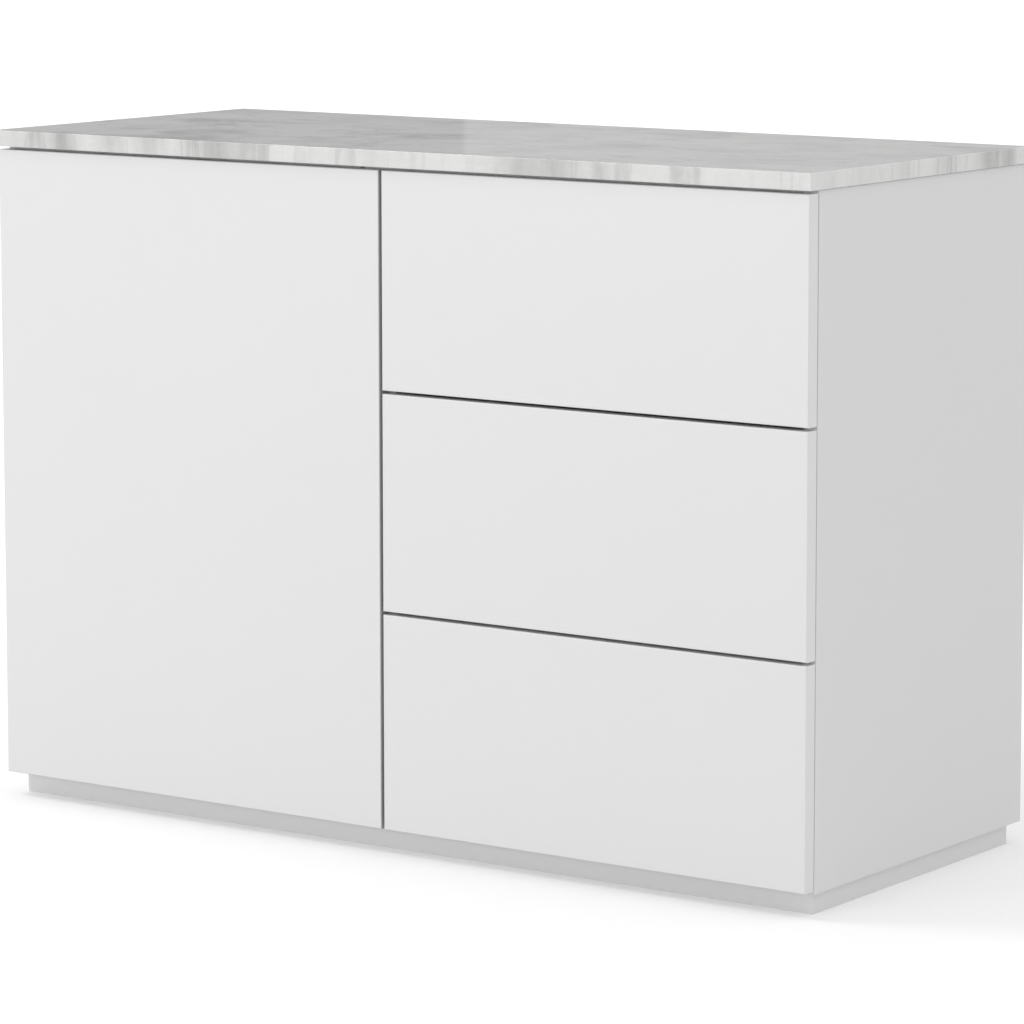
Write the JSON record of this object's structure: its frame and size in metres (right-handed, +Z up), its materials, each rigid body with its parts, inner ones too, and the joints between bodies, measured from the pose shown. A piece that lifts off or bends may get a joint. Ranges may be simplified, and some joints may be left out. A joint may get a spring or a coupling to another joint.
{
  "type": "sideboard buffet",
  "caption": "Low sideboard on a recessed plinth: a hinged door beside a stack of handle-less drawers, under a thin marble slab.",
  "frame": {"origin": "on the floor, under the middle of the slab", "axes": "+X to the right seen from the front, +Y to the back, +Z up"},
  "size_m": [1.2, 0.5, 0.846],
  "materials": {
    "slab_stone": "polished, pale grey marble with soft streaks",
    "white_lacquer": "satin white lacquer on fibreboard",
    "carcass_white": "satin white lacquer on fibreboard",
    "white_board": "matt white melamine on board",
    "hinge_steel": "nickel plated",
    "slide_steel": "zinc plated",
    "screw_steel": "zinc plated",
    "cam_zinc": "die-cast zinc",
    "dowel_beech": "plain beech",
    "latch_plastic": "moulded grey plastic",
    "plunger_plastic": "moulded white plastic"
  },
  "bodies": {
    "carcass": {"top_slab": "slab_stone", "side_panel_left": "carcass_white", "side_panel_right": "carcass_white", "bottom_panel": "carcass_white", "carcass_top": "carcass_white", "centre_divider": "carcass_white", "back_panel": "white_board", "plinth_front": "carcass_white", "plinth_back": "carcass_white", "plinth_left": "carcass_white", "plinth_right": "carcass_white", "plinth_brackets": "slide_steel", "shelf": "carcass_white", "shelf_pins": "screw_steel", "cam_locks": "cam_zinc", "cam_bolts": "screw_steel", "dowels": "dowel_beech", "divider_screws": "screw_steel", "hinge_arms": "hinge_steel", "hinge_plates": "hinge_steel", "euro_screws": "screw_steel", "latch_housings": "latch_plastic", "slide_outer_members": "slide_steel"},
    "hinge_link": {"hinge_links": "hinge_steel", "hinge_pins": "hinge_steel"},
    "door": {"door_panel": "white_lacquer", "hinge_cups": "hinge_steel", "hinge_cup_screws": "screw_steel", "door_strike": "screw_steel"},
    "door_plunger": {"latch_plunger_door": "plunger_plastic"},
    "drawer_1": {"drawer_1_front": "white_lacquer", "drawer_1_inner_front": "white_board", "drawer_1_side_left": "white_board", "drawer_1_side_right": "white_board", "drawer_1_bottom": "white_board", "drawer_1_back": "white_board", "drawer_1_front_screws": "screw_steel", "slide_inner_1": "slide_steel"},
    "middle_slide_1": {"slide_middle_1": "slide_steel"},
    "plunger_1": {"latch_plunger_1": "plunger_plastic"},
    "drawer_2": {"drawer_2_front": "white_lacquer", "drawer_2_inner_front": "white_board", "drawer_2_side_left": "white_board", "drawer_2_side_right": "white_board", "drawer_2_bottom": "white_board", "drawer_2_back": "white_board", "drawer_2_front_screws": "screw_steel", "slide_inner_2": "slide_steel"},
    "middle_slide_2": {"slide_middle_2": "slide_steel"},
    "plunger_2": {"latch_plunger_2": "plunger_plastic"},
    "drawer_3": {"drawer_3_front": "white_lacquer", "drawer_3_inner_front": "white_board", "drawer_3_side_left": "white_board", "drawer_3_side_right": "white_board", "drawer_3_bottom": "white_board", "drawer_3_back": "white_board", "drawer_3_front_screws": "screw_steel", "slide_inner_3": "slide_steel"},
    "middle_slide_3": {"slide_middle_3": "slide_steel"},
    "plunger_3": {"latch_plunger_3": "plunger_plastic"}
  },
  "joints": [
    {"name": "door_links", "type": "hinge", "parent": "carcass", "child": "hinge_link", "pos_m": [-0.5648, -0.2345, 0], "axis": [0, 0, -1], "range_deg": [-46, 0]},
    {"name": "door_hinge", "type": "hinge", "parent": "hinge_link", "child": "door", "pos_m": [-0.5822, -0.23, 0], "axis": [0, 0, -1], "range_deg": [0, 138]},
    {"name": "door_latch", "type": "slide", "parent": "carcass", "child": "door_plunger", "axis": [0, -1, 0], "range_m": [0, 0.02]},
    {"name": "drawer_1_slide", "type": "slide", "parent": "carcass", "child": "drawer_1", "axis": [0, -1, 0], "range_m": [0, 0.4]},
    {"name": "middle_1_slide", "type": "slide", "parent": "carcass", "child": "middle_slide_1", "axis": [0, -1, 0], "range_m": [0, 0.2]},
    {"name": "latch_1_slide", "type": "slide", "parent": "carcass", "child": "plunger_1", "axis": [0, -1, 0], "range_m": [0, 0.02]},
    {"name": "drawer_2_slide", "type": "slide", "parent": "carcass", "child": "drawer_2", "axis": [0, -1, 0], "range_m": [0, 0.4]},
    {"name": "middle_2_slide", "type": "slide", "parent": "carcass", "child": "middle_slide_2", "axis": [0, -1, 0], "range_m": [0, 0.2]},
    {"name": "latch_2_slide", "type": "slide", "parent": "carcass", "child": "plunger_2", "axis": [0, -1, 0], "range_m": [0, 0.02]},
    {"name": "drawer_3_slide", "type": "slide", "parent": "carcass", "child": "drawer_3", "axis": [0, -1, 0], "range_m": [0, 0.4]},
    {"name": "middle_3_slide", "type": "slide", "parent": "carcass", "child": "middle_slide_3", "axis": [0, -1, 0], "range_m": [0, 0.2]},
    {"name": "latch_3_slide", "type": "slide", "parent": "carcass", "child": "plunger_3", "axis": [0, -1, 0], "range_m": [0, 0.02]}
  ],
  "couplings": [
    {"joint": "door_links", "follows": "door_hinge", "ratio": -0.33333},
    {"joint": "door_latch", "follows": "door_hinge", "m_per_rad": 0.008295},
    {"joint": "middle_1_slide", "follows": "drawer_1_slide", "ratio": 0.5},
    {"joint": "latch_1_slide", "follows": "drawer_1_slide", "ratio": 0.05},
    {"joint": "middle_2_slide", "follows": "drawer_2_slide", "ratio": 0.5},
    {"joint": "latch_2_slide", "follows": "drawer_2_slide", "ratio": 0.05},
    {"joint": "middle_3_slide", "follows": "drawer_3_slide", "ratio": 0.5},
    {"joint": "latch_3_slide", "follows": "drawer_3_slide", "ratio": 0.05}
  ]
}
